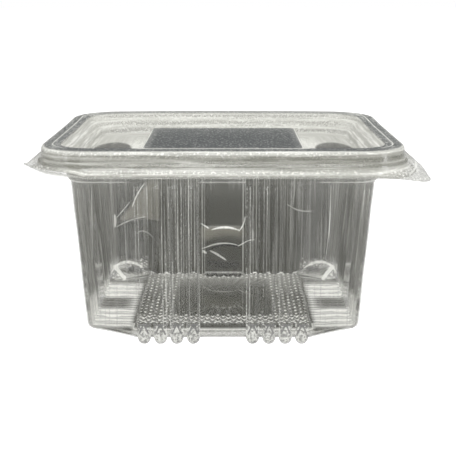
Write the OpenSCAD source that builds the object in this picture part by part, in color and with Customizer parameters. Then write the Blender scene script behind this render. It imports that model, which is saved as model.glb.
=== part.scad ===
// Clear hinged salad container: a fluted tray and a ring-rimmed lid, formed from one thin sheet.
// The front is at -Y, the hinge runs along the back edge, and the container stands on its feet at Z = 0.

/* [Sheet] */
// Thickness of the clear sheet
sheet = 0.5; // [0.4:0.05:0.6]
// Gap between the closed lid and the tray
fit_gap = 0.3; // [0.25:0.05:0.4]

/* [Tray] */
// Width of the tray at its floor
floor_w = 109; // [106:0.5:112]
// Depth of the tray at its floor
floor_d = 95; // [93:0.5:97]
// Width of the tray's mouth, at the shoulder
mouth_w = 119.5; // [115:0.5:122]
// Depth of the tray's mouth, at the shoulder
mouth_d = 101.5; // [98:0.5:103]
// Height of the shoulder under the rim
shoulder_h = 66.5; // [50:0.5:80]
// Width of the ledge at the shoulder
shoulder_ledge = 0.9; // [0.5:0.1:1.2]
// Corner radius of the wall at the floor
low_r = 3.5; // [2.5:0.25:6]
// Corner radius of the wall at the shoulder
high_r = 9; // [6:0.5:11]
// Height at which the slanted bottom corners end
corner_h = 7.2; // [5.5:0.1:10]

/* [Flutes] */
// Flutes in each group, two groups to a wall
flute_count = 4; // [2:1:4]
// Distance between flutes
flute_pitch = 6.6; // [6:0.1:6.8]
// Width of a flute
flute_w = 5; // [4.4:0.1:5.4]
// How far a flute stands out of the wall
flute_depth = 0.9; // [0.5:0.1:1.2]
// Slope width at each side of a flute
flute_side = 0.8; // [0.6:0.05:1]
// Plain strip between the two groups of a wall
plain_strip = 17.2; // [14:0.2:18]

/* [Feet] */
// Height of the feet under the floor
foot_h = 2.8; // [2:0.1:3.6]
// Length of a foot, front to back
foot_l = 4.6; // [3.6:0.1:5]
// Height of the low ridges that carry the side flutes across the floor
ridge_h = 0.5; // [0.3:0.05:0.8]

/* [Floor panel] */
// Width of the raised panel
panel_w = 71; // [66:0.5:73]
// Depth of the raised panel
panel_d = 73; // [68:0.5:74]
// Height of the raised panel
panel_h = 2.6; // [1.5:0.1:3.5]
// Distance between the panel's studs
stud_pitch = 3.4; // [3.2:0.1:4.5]
// Height of a stud
stud_h = 0.8; // [0.4:0.1:1]
// Width of the plain field inside the studs
field_w = 40; // [30:1:50]
// Depth of the plain field inside the studs
field_d = 55; // [40:1:58]

/* [Rim] */
// Height of the tray's flange above the shoulder
flange_rise = 5; // [3:0.5:8]
// Width over the flange
flange_w = 156; // [154:0.5:162]
// Depth over the flange, from the front edge to the hinge line
flange_d = 130; // [129:0.5:134]
// Corner radius of the flange
flange_r = 26; // [22:1:30]
// How far the tray's flange stays inside the lid's at the sides
flange_set = 2.5; // [1:0.5:3]

/* [Lid] */
// Width over the lid's raised ring
ring_w = 141; // [138:0.5:143]
// Depth over the lid's raised ring
ring_d = 122; // [120:0.5:122.5]
// Corner radius of the raised ring
ring_r = 19.5; // [17:0.5:22]
// Width of the ring's flat top
ring_top = 7.2; // [6.4:0.1:8]
// Height of the ring above the lid's flange
ring_h = 8.7; // [7.5:0.1:10]
// Drop from the ring's top to the trough
trough_drop = 8; // [6:0.1:8.2]
// Drop from the ring's top to the raised middle
plateau_drop = 4; // [2:0.1:5]
// Width of the raised middle
plateau_w = 65; // [50:1:75]
// Depth of the raised middle
plateau_d = 63; // [50:1:70]
// Steps in the wall between the ring and the trough
step_count = 3; // [2:1:4]
// Width of one such step
step_w = 2.7; // [2:0.1:3]
// Corner radius of the recess
recess_r = 14; // [10:0.5:16]

/* [Tabs] */
// Corner radius of the lifting tab, at the front right
tab_r = 5; // [3:0.5:10]
// Droop of the lifting tab's tip
tab_droop = 1.8; // [0:0.1:2.2]
// Rise of the front left corner
corner_rise = 2; // [0:0.1:2.4]

/* [Hidden] */

clear_tint = [0.78, 0.82, 0.82, 0.45];

// Segments in a corner of a plain loop, and of a fluted one
plain_steps = 9;
flute_steps = 6;

// Share of the sheet by which a slope moves sideways from one face of the sheet to the other
slope_share = 0.6;
// Heights of the two parts of the rounded edge round the floor, the width of its bend and its least radius
edge_h = 0.6;
bend_h = 1.2;
edge_w = 1.4;
least_r = 1;
// Run of the slanted end of a foot, and of the raised panel's edge
foot_slope = 1.2;
panel_slope = 1.2;
// Height over which the flutes end under the shoulder, and the shoulder's own height
flute_fade = 2;
shoulder_rise = 0.8;
// Slack over the fit gap between the two rings, and between the tray's ring and the lid's recess
ring_slack = 0.2;
recess_slack = 0.8;
// Draft of the ring's outer wall, and the step and skirt under it
ring_draft = 0.7;
skirt_step = 1;
skirt_run = 0.8;
// Share of the ring's height at which its wall steps out, and rise of that step
skirt_share = 0.45;
skirt_rise = 0.8;
// Height of the skirt's foot over the flange
skirt_foot = 0.3;
// Slope width of the raised middle, of one step's riser, and the fall of its tread
plateau_slope = 1.5;
riser_run = 0.8;
tread_fall = 0.2;
plateau_r = 3;
panel_r = 1;

flange_h = shoulder_h + flange_rise;
ring_gap = fit_gap + ring_slack;
recess_gap = fit_gap + recess_slack;
lid_flange = flange_h + fit_gap + sheet;
ring_z = lid_flange + ring_h;
hinge_gap = fit_gap / 2;
zone_end = plain_strip / 2 + flute_count * flute_pitch;

half_floor = [floor_w, floor_d] / 2;
half_mouth = [mouth_w, mouth_d] / 2;
half_panel = [panel_w, panel_d] / 2;
half_field = [field_w, field_d] / 2;
half_ring = [ring_w, ring_d] / 2;
half_flange = [flange_w / 2, flange_d / 2 - hinge_gap];
half_plateau = [plateau_w, plateau_d] / 2;
all_round = [1, 1];
no_rise = [0, 0, 0, 0];
tip_rise = [-tab_droop, 0, 0, corner_rise];

// Half sizes of the tray's wall at a height
function half_wall(z) =
    half_floor + (half_mouth - half_floor) * (z - foot_h) / (shoulder_h - foot_h);

// Angle of a point about the vertical axis, from the middle of the front
function turn(p) = (atan2(p[0], -p[1]) + 360) % 360;

// Number of entries after the first that are below a limit, or up to it
function below(list, limit) = len([for (k = [1:len(list) - 1]) if (list[k] < limit) 1]);
function up_to(list, limit) = len([for (k = [1:len(list) - 1]) if (list[k] <= limit) 1]);

// Points of corner k, which runs from one side of a loop to the next, round or cut straight
function corner(k, half, rx, ry, steps, straight) = [
    for (i = [0:steps])
        let (
            a = 90 * (k % 2 == 0 ? i : steps - i) / steps,
            b = (k % 2 == 0 ? i : steps - i) / steps,
            u = straight ? b : sin(a),
            v = straight ? 1 - b : cos(a),
            x = half[0] - rx + rx * u,
            y = half[1] - ry + ry * v
        )
        [(k < 2 ? 1 : -1) * x, (k == 1 || k == 2 ? 1 : -1) * y]
];

// A plain loop at one height, with a radius for each corner and a rise at the middle of each corner
function plain_loop(half, z, r, rise = no_rise) = [
    for (k = [0:3])
        let (
            middle = [[0, -half[1]], [half[0], 0], [0, half[1]], [-half[0], 0]][k],
            bend = corner(k, half, r[k], r[k], plain_steps, false)
        )
        each concat(
            [[middle[0], middle[1], z]],
            [for (i = [0:plain_steps]) [bend[i][0], bend[i][1], z + rise[k] * sin(180 * i / plain_steps)]]
        )
];
function same_r(r) = [r, r, r, r];

// Places along a wall where its flutes begin and end, each with 1 on the flute's crest and 0 beside it
function flute_half(inset) = [
    for (i = [0:flute_count - 1])
        let (
            c = plain_strip / 2 + flute_pitch * (i + 0.5),
            foot = flute_w / 2 - inset,
            crest = foot - flute_side
        )
        each [[c - foot, 0], [c - crest, 1], [c + crest, 1], [c + foot, 0]]
];
function mirrored(marks) = [for (i = [len(marks) - 1:-1:0]) [-marks[i][0], marks[i][1]]];

// One wall's points: side 0 is the front, 1 the right, 2 the back and 3 the left
function wall_points(side, marks, half, flute, z, crest_z) = [
    for (m = marks)
        let (
            out = half[side % 2 == 0 ? 1 : 0] + flute * m[1],
            h = m[1] == 1 ? crest_z : z,
            way = side == 0 || side == 3 ? -1 : 1,
            along = side < 2 ? m[0] : -m[0]
        )
        side % 2 == 0 ? [along, way * out, h] : [way * out, along, h]
];

// A corner of the fluted wall: a round one with radius r, or a straight cut past the flutes where r is 0
function wall_corner(k, half, r, z) =
    let (rx = r > 0 ? r : half[0] - zone_end, ry = r > 0 ? r : half[1] - zone_end)
    [for (p = corner(k, half, rx, ry, flute_steps, r == 0)) [p[0], p[1], z]];

// A loop of the fluted wall. A level lists its half sizes, the flutes' depth, the heights of the plain
// wall, of the feet, of the side flutes and of the corners, the corner radius, and the way across the sheet
function fluted_loop(level, across) =
    let (
        half = level[0] + all_round * level[7] * across,
        lift = level[8] * across,
        flute = level[1],
        r = level[6] > 0 ? max(level[6] + level[7] * across, least_r) : 0,
        marks = flute_half(across * slope_share),
        both = concat(mirrored(marks), marks),
        z = level[2] + lift,
        foot = level[3] + lift,
        side = level[4] + lift,
        bend = level[5] + lift
    )
    concat(
        wall_points(0, marks, half, flute, z, foot),
        wall_corner(0, half, r, bend),
        wall_points(1, both, half, flute, z, side),
        wall_corner(1, half, r, bend),
        wall_points(2, both, half, flute, z, foot),
        wall_corner(2, half, r, bend),
        wall_points(3, both, half, flute, z, side),
        wall_corner(3, half, r, bend),
        wall_points(0, mirrored(marks), half, flute, z, foot)
    );

// The raised panel as a field of square cells, each stud a pyramid over one cell
cells_x = 2 * round(panel_w / stud_pitch / 2);
cells_y = 2 * round(panel_d / stud_pitch / 2);
function is_stud(c) = abs(c[0]) > half_field[0] || abs(c[1]) > half_field[1];
function cell_middle(i, j, half) =
    [(2 * (i + 0.5) / cells_x - 1) * half[0], (2 * (j + 0.5) / cells_y - 1) * half[1]];
function panel_points(half, z) = concat(
    [
        for (j = [0:cells_y])
            for (i = [0:cells_x])
                [(2 * i / cells_x - 1) * half[0], (2 * j / cells_y - 1) * half[1], z]
    ],
    [
        for (j = [0:cells_y - 1])
            for (i = [0:cells_x - 1])
                let (c = cell_middle(i, j, half))
                [c[0], c[1], z + (is_stud(c) ? stud_h : 0)]
    ]
);
function panel_vertex(i, j) = j * (cells_x + 1) + i;
panel_apex = (cells_x + 1) * (cells_y + 1);
function panel_faces(first) = [
    for (j = [0:cells_y - 1])
        for (i = [0:cells_x - 1])
            let (
                left = [panel_vertex(i, j), panel_vertex(i, j + 1)],
                q = concat(left, [left[1] + 1, left[0] + 1]),
                top = panel_apex + j * cells_x + i
            )
            each is_stud(cell_middle(i, j, half_panel))
                ? [for (k = [0:3]) [first + q[k], first + q[(k + 1) % 4], first + top]]
                : [[for (k = q) first + k]]
];
panel_edge = concat(
    [for (i = [cells_x / 2:cells_x]) panel_vertex(i, 0)],
    [for (j = [1:cells_y]) panel_vertex(cells_x, j)],
    [for (i = [cells_x - 1:-1:0]) panel_vertex(i, cells_y)],
    [for (j = [cells_y - 1:-1:0]) panel_vertex(0, j)],
    [for (i = [1:cells_x / 2 - 1]) panel_vertex(i, 0)]
);

// Faces of the band between two loops, given as lists of point numbers
function band(points, a, b) = len(a) == len(b)
    ? let (n = len(a))
      [
          for (i = [0:n - 1])
              let (k = (i + 1) % n)
              each [[a[k], a[i], b[i]], [b[i], b[k], a[k]]]
      ]
    : let (
          n = len(a),
          m = len(b),
          ta = concat([for (k = a) turn(points[k])], [turn(points[a[0]]) + 360]),
          tb = concat([for (k = b) turn(points[k])], [turn(points[b[0]]) + 360])
      )
      concat(
          [for (i = [0:n - 1]) [a[(i + 1) % n], a[i], b[up_to(tb, ta[i + 1]) % m]]],
          [for (j = [0:m - 1]) [b[j], b[(j + 1) % m], a[below(ta, tb[j + 1]) % n]]]
      );
function bands(points, loops) = [for (k = [0:len(loops) - 2]) each band(points, loops[k], loops[k + 1])];

// Point numbers of loops that follow each other in one list of points
function first_of(loops, k) = k == 0 ? 0 : first_of(loops, k - 1) + len(loops[k - 1]);
function numbers(loops, start) = [
    for (k = [0:len(loops) - 1])
        let (f = start + first_of(loops, k))
        [for (i = [0:len(loops[k]) - 1]) f + i]
];
function backwards(list) = [for (k = [len(list) - 1:-1:0]) list[k]];
function rest(list) = [for (k = [1:len(list) - 1]) list[k]];
function joined(loops) = [for (loop = loops) each loop];

// Levels of the tray's fluted part, from the floor strip to the shoulder
flute_top = shoulder_h - flute_fade;
wall_foot = foot_h + edge_h + bend_h;
tray_levels = [
    [half_panel + 2 * panel_slope * all_round, 0, foot_h, foot_h, foot_h, foot_h, 0, 0, 1],
    [
        half_floor - (foot_l + edge_w + foot_slope) * all_round, 0,
        foot_h, foot_h, foot_h + ridge_h, foot_h, 0, slope_share, 1
    ],
    [half_floor - (foot_l + edge_w) * all_round, 0, foot_h, 0, foot_h + ridge_h, foot_h, 0, slope_share, 1],
    [half_floor - edge_w * all_round, 0, foot_h, 0, foot_h + ridge_h, foot_h, 0, -slope_share, 1],
    [
        half_floor, flute_depth / 2,
        foot_h + edge_h, edge_h, foot_h + edge_h, foot_h + edge_h, 0, -1, slope_share
    ],
    [half_wall(wall_foot), flute_depth, wall_foot, wall_foot, wall_foot, corner_h, low_r, -1, 0],
    [half_wall(flute_top), flute_depth, flute_top, flute_top, flute_top, flute_top, high_r, -1, 0],
    [half_mouth, 0, shoulder_h, shoulder_h, shoulder_h, shoulder_h, high_r, -1, 0]
];

// Levels of the tray's rim, as half sizes, height, corner radii, the corners' rise and the way across
tray_ring_out = half_ring - (sheet + ring_gap + sheet) * all_round;
tray_ring_in = half_ring - (ring_top - recess_gap - sheet) * all_round;
tray_flange = half_flange - [flange_set, 0];
function tray_r(half) = ring_r - (half_ring[0] - half[0]);
tray_ring_z = ring_z - 2 * sheet - fit_gap;
flange_under = flange_h - sheet;
tray_rim = [
    let (half = half_mouth + shoulder_ledge * all_round)
    [half, shoulder_h + shoulder_rise, same_r(high_r + shoulder_ledge), no_rise, -1, slope_share],
    [tray_ring_in, tray_ring_z, same_r(tray_r(tray_ring_in)), no_rise, -1, 1],
    [tray_ring_out, tray_ring_z, same_r(tray_r(tray_ring_out)), no_rise, 1, 1],
    let (half = tray_ring_out + ring_draft * all_round)
    [half, flange_under + skirt_rise, same_r(tray_r(half)), no_rise, 1, slope_share],
    let (half = tray_ring_out + (ring_draft + slope_share) * all_round)
    [half, flange_under, same_r(tray_r(half)), no_rise, slope_share, 1],
    [tray_flange, flange_under, same_r(flange_r - flange_set), tip_rise, 0, 1]
];

function rim_loop(level, across) =
    let (half = level[0] + all_round * level[4] * across, r = level[2] + same_r(level[4] * across))
    plain_loop(half, level[1] + level[5] * across, r, level[3]);

// One face of the tray's sheet, from the panel's edge out to the flange
function tray_loops(across) = concat(
    [
        plain_loop(
            half_panel + (panel_slope + slope_share * across) * all_round,
            foot_h + across,
            same_r(panel_r + across)
        )
    ],
    [for (level = tray_levels) fluted_loop(level, across)],
    [for (level = tray_rim) rim_loop(level, across)]
);

module base_tray() {
    panel_z = foot_h + panel_h;
    under_panel = panel_points(half_panel, panel_z);
    upper_panel = panel_points(half_panel + slope_share * sheet * all_round, panel_z + sheet);
    under = tray_loops(0);
    upper = tray_loops(sheet);
    points = concat(under_panel, upper_panel, joined(under), joined(upper));
    panel_size = len(under_panel);
    under_numbers = concat([panel_edge], numbers(under, 2 * panel_size));
    upper_first = 2 * panel_size + len(joined(under));
    upper_edge = [for (k = panel_edge) k + panel_size];
    upper_numbers = concat([upper_edge], numbers(upper, upper_first));
    faces = concat(
        [for (f = panel_faces(0)) backwards(f)],
        panel_faces(panel_size),
        bands(points, concat(under_numbers, backwards(upper_numbers)))
    );
    color(clear_tint) polyhedron(points, faces);
}

// Levels of the lid's upper face, from the raised middle out to the flange, listed like the rim's
trough_z = ring_z - trough_drop;
riser_h = (trough_drop - step_count * tread_fall + tread_fall) / step_count;
recess_edge = half_ring - ring_top * all_round;
recess_foot = recess_edge - ((step_count - 1) * step_w + riser_run) * all_round;
skirt_top = lid_flange + skirt_share * ring_h;
function recess_level(half, z) = [half, z, same_r(recess_r), no_rise, slope_share, -1];
lid_rise = [0, 0, 0, corner_rise];
lid_levels = concat(
    [
        [half_plateau, ring_z - plateau_drop, same_r(plateau_r), no_rise, -slope_share, -1],
        let (half = half_plateau + plateau_slope * all_round)
        [half, trough_z, same_r(plateau_r + plateau_slope), no_rise, -slope_share, -1]
    ],
    [
        for (k = [0:step_count - 1])
            let (
                foot = recess_foot + k * step_w * all_round,
                foot_z = trough_z + k * (riser_h + tread_fall),
                top = foot + riser_run * all_round
            )
            each [recess_level(foot, foot_z), recess_level(top, foot_z + riser_h)]
    ],
    [
        [half_ring, ring_z, same_r(ring_r), no_rise, -slope_share, -1],
        let (half = half_ring + ring_draft * all_round)
        [half, skirt_top, same_r(ring_r + ring_draft), no_rise, -1, -slope_share],
        let (half = half_ring + (ring_draft + skirt_step) * all_round)
        [half, skirt_top - skirt_rise, same_r(ring_r + ring_draft + skirt_step), no_rise, -1, -slope_share],
        let (out = ring_draft + skirt_step + skirt_run, half = half_ring + out * all_round)
        [half, lid_flange + skirt_foot, same_r(ring_r + out), lid_rise, -slope_share, -1],
        [half_flange, lid_flange, [tab_r, flange_r, flange_r, flange_r], tip_rise, 0, -1]
    ]
);

module lid() {
    upper = [for (level = lid_levels) rim_loop(level, 0)];
    under = [for (level = lid_levels) rim_loop(level, sheet)];
    points = concat(joined(upper), joined(under));
    upper_numbers = numbers(upper, 0);
    under_numbers = numbers(under, len(joined(upper)));
    faces = concat(
        [concat([upper_numbers[0][0]], backwards(rest(upper_numbers[0])))],
        [under_numbers[0]],
        bands(points, concat(under_numbers, backwards(upper_numbers)))
    );
    color(clear_tint) polyhedron(points, faces);
}

base_tray();
lid();
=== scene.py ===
import math

import bpy
import numpy as np
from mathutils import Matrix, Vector


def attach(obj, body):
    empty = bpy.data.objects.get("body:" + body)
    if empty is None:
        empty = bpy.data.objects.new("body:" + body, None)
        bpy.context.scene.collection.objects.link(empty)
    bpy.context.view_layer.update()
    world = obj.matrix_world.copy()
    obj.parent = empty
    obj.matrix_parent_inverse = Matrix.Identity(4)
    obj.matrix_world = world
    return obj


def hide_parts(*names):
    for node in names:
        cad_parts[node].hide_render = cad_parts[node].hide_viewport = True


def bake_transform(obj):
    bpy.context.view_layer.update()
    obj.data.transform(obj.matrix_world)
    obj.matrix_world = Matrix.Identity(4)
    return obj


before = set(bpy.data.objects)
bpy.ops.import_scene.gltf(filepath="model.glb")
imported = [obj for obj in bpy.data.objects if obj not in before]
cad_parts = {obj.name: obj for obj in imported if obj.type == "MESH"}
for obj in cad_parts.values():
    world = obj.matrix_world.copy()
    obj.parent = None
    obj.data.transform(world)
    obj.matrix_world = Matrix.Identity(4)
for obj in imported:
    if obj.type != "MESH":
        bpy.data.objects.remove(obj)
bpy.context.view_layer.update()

MM = 0.001

# Sizes of the container in millimetres, as in the part's source
SHEET = 0.5
FOOT_H = 2.8
FOOT_L = 4.6
FOOT_SLOPE = 1.2
EDGE_H = 0.6
EDGE_W = 1.4
WALL_FOOT = 4.6
CORNER_H = 7.2
RIDGE_H = 0.5
SHOULDER_H = 66.5
SHOULDER_LEDGE = 0.9
SHOULDER_RISE = 0.8
FLUTE_TOP = 64.5
FLUTE_COUNT = 4
FLUTE_PITCH = 6.6
FLUTE_DEPTH = 0.9
PLAIN_STRIP = 17.2
FLUTES_END = PLAIN_STRIP / 2 + FLUTE_COUNT * FLUTE_PITCH
LOW_R = 3.5
HIGH_R = 9.0
HALF_FLOOR = np.array([54.5, 47.5])
HALF_MOUTH = np.array([59.75, 50.75])
HALF_PANEL = np.array([35.5, 36.5])
HALF_FIELD = np.array([20.0, 27.5])
PANEL_SLOPE = 1.2
PANEL_H = 2.6
PANEL_R = 1.0
STUD_H = 0.8
STUD_R = 1.4
STUD_PITCH = 4.4
HALF_RING = np.array([70.5, 61.0])
RING_R = 19.5
RING_Z = 81.0
FLANGE_H = 71.5
LID_FLANGE = 72.3
HALF_FLANGE = np.array([78.0, 64.85])
FLANGE_R = 26.0
FLANGE_SET = 2.5
TAB_R = 5.0
HALF_PLATEAU = np.array([32.5, 31.5])
PLATEAU_Z = 77.5
TROUGH_Z = 73.0
RECESS_R = 14.0
HINGE_Z = 71.65
FOLD_HALF = 50.0
FOLD_INNER = 0.15
FOLD_OUTER = 0.65
RING_IN_SET = 5.6
RING_OUT_SET = 1.5
TRAY_RING_Z = 79.7
RING_TOP_W = 7.2
STEPS = 3
STEPS_W = 6.2
STEP_W = 2.7
STEP_RISE = 0.2
RISER_SLOPE = 0.8
SKIRT_STEP_Z = LID_FLANGE + 0.45 * (RING_Z - LID_FLANGE)

# What the photo's container has beyond its design, in millimetres
CORNER_LIFT = 1.9
TAB_DROOP = 2.0
LID_BOW = 1.1
SWOOSH_DEPTH = 1.5
FOLD_DEPTH = 1.2
WAVE_DEPTH = 0.16


def smooth(low, high, x):
    """0 below low, 1 above high and a soft ramp between them."""
    t = np.clip((np.asarray(x, float) - low) / (high - low), 0, 1)
    return t * t * (3 - 2 * t)


def hump(x, middle, width):
    """A soft hump of height 1 round the middle."""
    return np.exp(-((x - middle) / width) ** 2)


# Loops of the tray


def flute_places(offsets, strip_parts):
    """Places along one wall, from end to end of its flutes."""
    half = list(np.linspace(0, PLAIN_STRIP / 2, strip_parts)[:-1])
    for i in range(FLUTE_COUNT):
        middle = PLAIN_STRIP / 2 + FLUTE_PITCH * (i + 0.5)
        half += [middle + o for o in offsets]
    half.append(FLUTES_END)
    return np.array([-p for p in half[:0:-1]] + half)


def flute_shape(places):
    """How far each place stands out on a flute, and how far down on a foot."""
    first = PLAIN_STRIP / 2 + FLUTE_PITCH / 2
    a = np.abs(places)
    i = np.clip(np.round((a - first) / FLUTE_PITCH), 0, FLUTE_COUNT - 1)
    off = np.abs(a - (first + FLUTE_PITCH * i))
    crest = 1 - smooth(1.3, 2.55, off)
    lobe = np.sqrt(np.clip(1 - (off / 2.65) ** 2, 0, 1))
    return crest, lobe


FRONT_OFFSETS = (-3.3, -2.7, -2.3, -1.8, -1.3, -0.5, 0.5, 1.3, 1.8, 2.3, 2.7)
SIDE_OFFSETS = (-3.3, -2.4, -1.5, 0, 1.5, 2.4)
WALL_PLACES = [flute_places(o, n) for o, n in ((FRONT_OFFSETS, 10), (SIDE_OFFSETS, 6)) * 2]
WALL_SHAPES = [flute_shape(p) for p in WALL_PLACES]
BEND_OUTER = np.arange(1, 9) / 9
BEND_ARC = np.arange(0, 10) / 9


def turned(wall, along, out):
    """A point of a wall, 0 being the front, 1 the right, 2 the back and 3 the left."""
    return [(along, -out), (out, along), (-along, out), (-out, -along)][wall]


def tray_loop(half, z, r, depth=0.0, foot=None, ridge=None, bend=None, cut=False):
    """One loop round the tray, with its flutes standing out by depth and its feet going down to foot."""
    foot = z if foot is None else foot
    ridge = z if ridge is None else ridge
    bend = z if bend is None else bend
    points = []
    for wall in range(4):
        along, out = (half[0], half[1]) if wall % 2 == 0 else (half[1], half[0])
        squeeze = min(1, (along - r - 0.3) / FLUTES_END)
        squeeze_next = min(1, (out - r - 0.3) / FLUTES_END)
        crest, lobe = WALL_SHAPES[wall]
        x, y = turned(wall, WALL_PLACES[wall] * squeeze, out + depth * crest)
        low = z + (foot - z) * lobe if wall % 2 == 0 else z + (ridge - z) * crest
        points.append(np.stack([x, y, np.broadcast_to(low, x.shape)], 1))
        start, end = FLUTES_END * squeeze, FLUTES_END * squeeze_next
        if cut:
            s = np.concatenate([BEND_OUTER * 0.3, 0.3 + BEND_ARC * 0.4, 0.7 + BEND_OUTER * 0.3])
            s = np.clip(s, 0.02, 0.98)
            a, o = start + (along - start) * s, out + (end - out) * s
        else:
            t = BEND_ARC * math.pi / 2
            a = np.concatenate([
                start + (along - r - start) * BEND_OUTER, along - r + r * np.sin(t), along + 0 * BEND_OUTER
            ])
            o = np.concatenate([
                out + 0 * BEND_OUTER, out - r + r * np.cos(t), out - r + (end - out + r) * BEND_OUTER
            ])
        low = z + (bend - z) * np.concatenate([BEND_OUTER, 1 + 0 * BEND_ARC, 1 - BEND_OUTER])
        x, y = turned(wall, a, o)
        points.append(np.stack([x, y, low], 1))
    return np.concatenate(points)


# Sections: rows of points from loop to loop, with rounded bends


def rounded_rows(loops, fillets, spans):
    """Rows through all the loops, with a bend of the given size at each. Returns rows and their place on the path."""
    rows, place = [loops[0]], [0.0]
    left = loops[0]
    for k in range(1, len(loops)):
        here = loops[k]
        last = k == len(loops) - 1
        size = 0 if last else fillets[k]
        if size:
            d1 = np.linalg.norm(here - loops[k - 1], axis=1)[:, None] + 1e-9
            d2 = np.linalg.norm(loops[k + 1] - here, axis=1)[:, None] + 1e-9
            into = here + (loops[k - 1] - here) * np.minimum(size, 0.45 * d1) / d1
            out = here + (loops[k + 1] - here) * np.minimum(size, 0.45 * d2) / d2
        else:
            into = out = here
        for t in spans[k]:
            rows.append(left + (into - left) * t)
            place.append(k - 1 + 0.1 + 0.8 * t)
        if size:
            rows += [into, 0.25 * into + 0.5 * here + 0.25 * out, out]
            place += [k - 0.1, float(k), k + 0.1]
        else:
            rows.append(here)
            place.append(float(k))
        left = out
    return np.array(rows), np.array(place)


def even(n):
    """Places of n rows spread evenly between two loops."""
    return [(i + 1) / (n + 1) for i in range(n)]


def grid_normals(grid):
    """Normals of a grid of rows that run round the container."""
    along = np.roll(grid, -1, 1) - np.roll(grid, 1, 1)
    across = np.gradient(grid, axis=0)
    n = np.cross(along, across)
    return n / (np.linalg.norm(n, axis=2, keepdims=True) + 1e-12)


def grid_bend(grid, normals):
    """How sharply the sheet bends at each point, per millimetre."""
    total = np.zeros(grid.shape[:2])
    for axis in (0, 1):
        if axis == 1:
            dn = np.roll(normals, -1, 1) - np.roll(normals, 1, 1)
            dp = np.roll(grid, -1, 1) - np.roll(grid, 1, 1)
        else:
            dn, dp = np.gradient(normals, axis=0), np.gradient(grid, axis=0)
        total += np.linalg.norm(dn, axis=2) / (np.linalg.norm(dp, axis=2) + 0.15)
    return total


class Sheet:
    """A formed sheet as a closed mesh: a first face, a second face a sheet's thickness away, a cap and an edge."""

    def __init__(self, name, grid, thickness, finish_of_row, marks, second_finish, second_marks, finishes):
        rows, count = grid.shape[:2]
        normals = grid_normals(grid)
        other = grid + normals * thickness
        vertices = np.concatenate([grid.reshape(-1, 3), other.reshape(-1, 3), [grid[0].mean(0), other[0].mean(0)]])
        size = rows * count
        i, j = np.meshgrid(np.arange(rows - 1), np.arange(count), indexing="ij")
        k = (j + 1) % count
        a, b, c, d = i * count + j, i * count + k, (i + 1) * count + k, (i + 1) * count + j
        front = np.stack([a, b, c, d], -1).reshape(-1, 4)
        back = np.stack([d, c, b, a], -1).reshape(-1, 4) + size
        j = np.arange(count)
        k = (j + 1) % count
        end = (rows - 1) * count
        edge = np.stack([end + j, end + k, end + k + size, end + j + size], -1)
        cap = np.stack([k, j, 0 * j + 2 * size], -1)
        other_cap = np.stack([j + size, k + size, 0 * j + 2 * size + 1], -1)
        if thickness > 0:
            front, back = front[:, ::-1], back[:, ::-1]
            edge, cap, other_cap = edge[:, ::-1], cap[:, ::-1], other_cap[:, ::-1]
        faces = front.tolist() + back.tolist() + edge.tolist() + cap.tolist() + other_cap.tolist()
        mesh = bpy.data.meshes.new(name)
        mesh.from_pydata((vertices * MM).tolist(), [], faces)
        for finish in finishes:
            mesh.materials.append(finish)
        index = np.concatenate([
            np.repeat(finish_of_row[:-1], count), np.repeat(second_finish[:-1], count),
            np.full(count, finish_of_row[-1]), np.full(count, finish_of_row[0]), np.full(count, second_finish[0])
        ])
        mesh.polygons.foreach_set("material_index", index.astype(np.int32))
        mesh.polygons.foreach_set("use_smooth", np.ones(len(faces), bool))
        for mark in marks:
            first, second = marks[mark], second_marks[mark]
            flat = np.concatenate([first.reshape(-1), second.reshape(-1), [first[0].mean(), second[0].mean()]])
            attribute = mesh.attributes.new(mark, "FLOAT", "POINT")
            attribute.data.foreach_set("value", flat.astype(np.float32))
        self.lay_flat(mesh, grid, rows, count, size)
        mesh.validate()
        mesh.update()
        self.object = bpy.data.objects.new(name, mesh)
        bpy.context.scene.collection.objects.link(self.object)

    def lay_flat(self, mesh, grid, rows, count, size):
        """A map of the sheet: once round the container, and in decimetres from its middle to its edge."""
        widest = grid[rows - 1]
        step = np.linalg.norm(np.roll(widest, -1, 0) - widest, axis=1)
        round_way = np.concatenate([[0], np.cumsum(step)]) / step.sum()
        rise = np.linalg.norm(np.diff(grid, axis=0), axis=2).mean(1)
        up_way = np.concatenate([[0], np.cumsum(rise)]) / 100
        corner = np.zeros(len(mesh.loops), np.int32)
        mesh.loops.foreach_get("vertex_index", corner)
        flat = corner % size
        row, station = np.minimum(flat // count, rows - 1), flat % count
        middle = corner >= 2 * size
        u = round_way[station]
        starts = np.zeros(len(mesh.polygons), np.int32)
        totals = np.zeros(len(mesh.polygons), np.int32)
        mesh.polygons.foreach_get("loop_start", starts)
        mesh.polygons.foreach_get("loop_total", totals)
        face = np.repeat(np.arange(len(starts)), totals)
        highest = np.zeros(len(starts))
        np.maximum.at(highest, face, np.where(middle, 0, station))
        u = np.where((highest[face] == count - 1) & (station == 0), round_way[count], u)
        v = np.where(middle, 0, up_way[row])
        layer = mesh.uv_layers.new(name="sheet")
        layer.data.foreach_set("uv", np.stack([u, v], 1).astype(np.float32).ravel())


def flange_turn(x, y):
    """Rise of the flange's front left corner and droop of the lifting tab, in millimetres."""
    start = HALF_FLANGE - FLANGE_R
    turns = []
    for side in (-1, 1):
        out = np.clip((side * x - start[0]) / FLANGE_R, 0, None) + np.clip((-y - start[1]) / FLANGE_R, 0, None)
        turns.append(np.where((side * x > start[0]) & (-y > start[1]), out, 0))
    return CORNER_LIFT * smooth(0.75, 1.4, turns[0]) - TAB_DROOP * smooth(1.0, 2.0, turns[1])


# Dents of the walls


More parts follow.
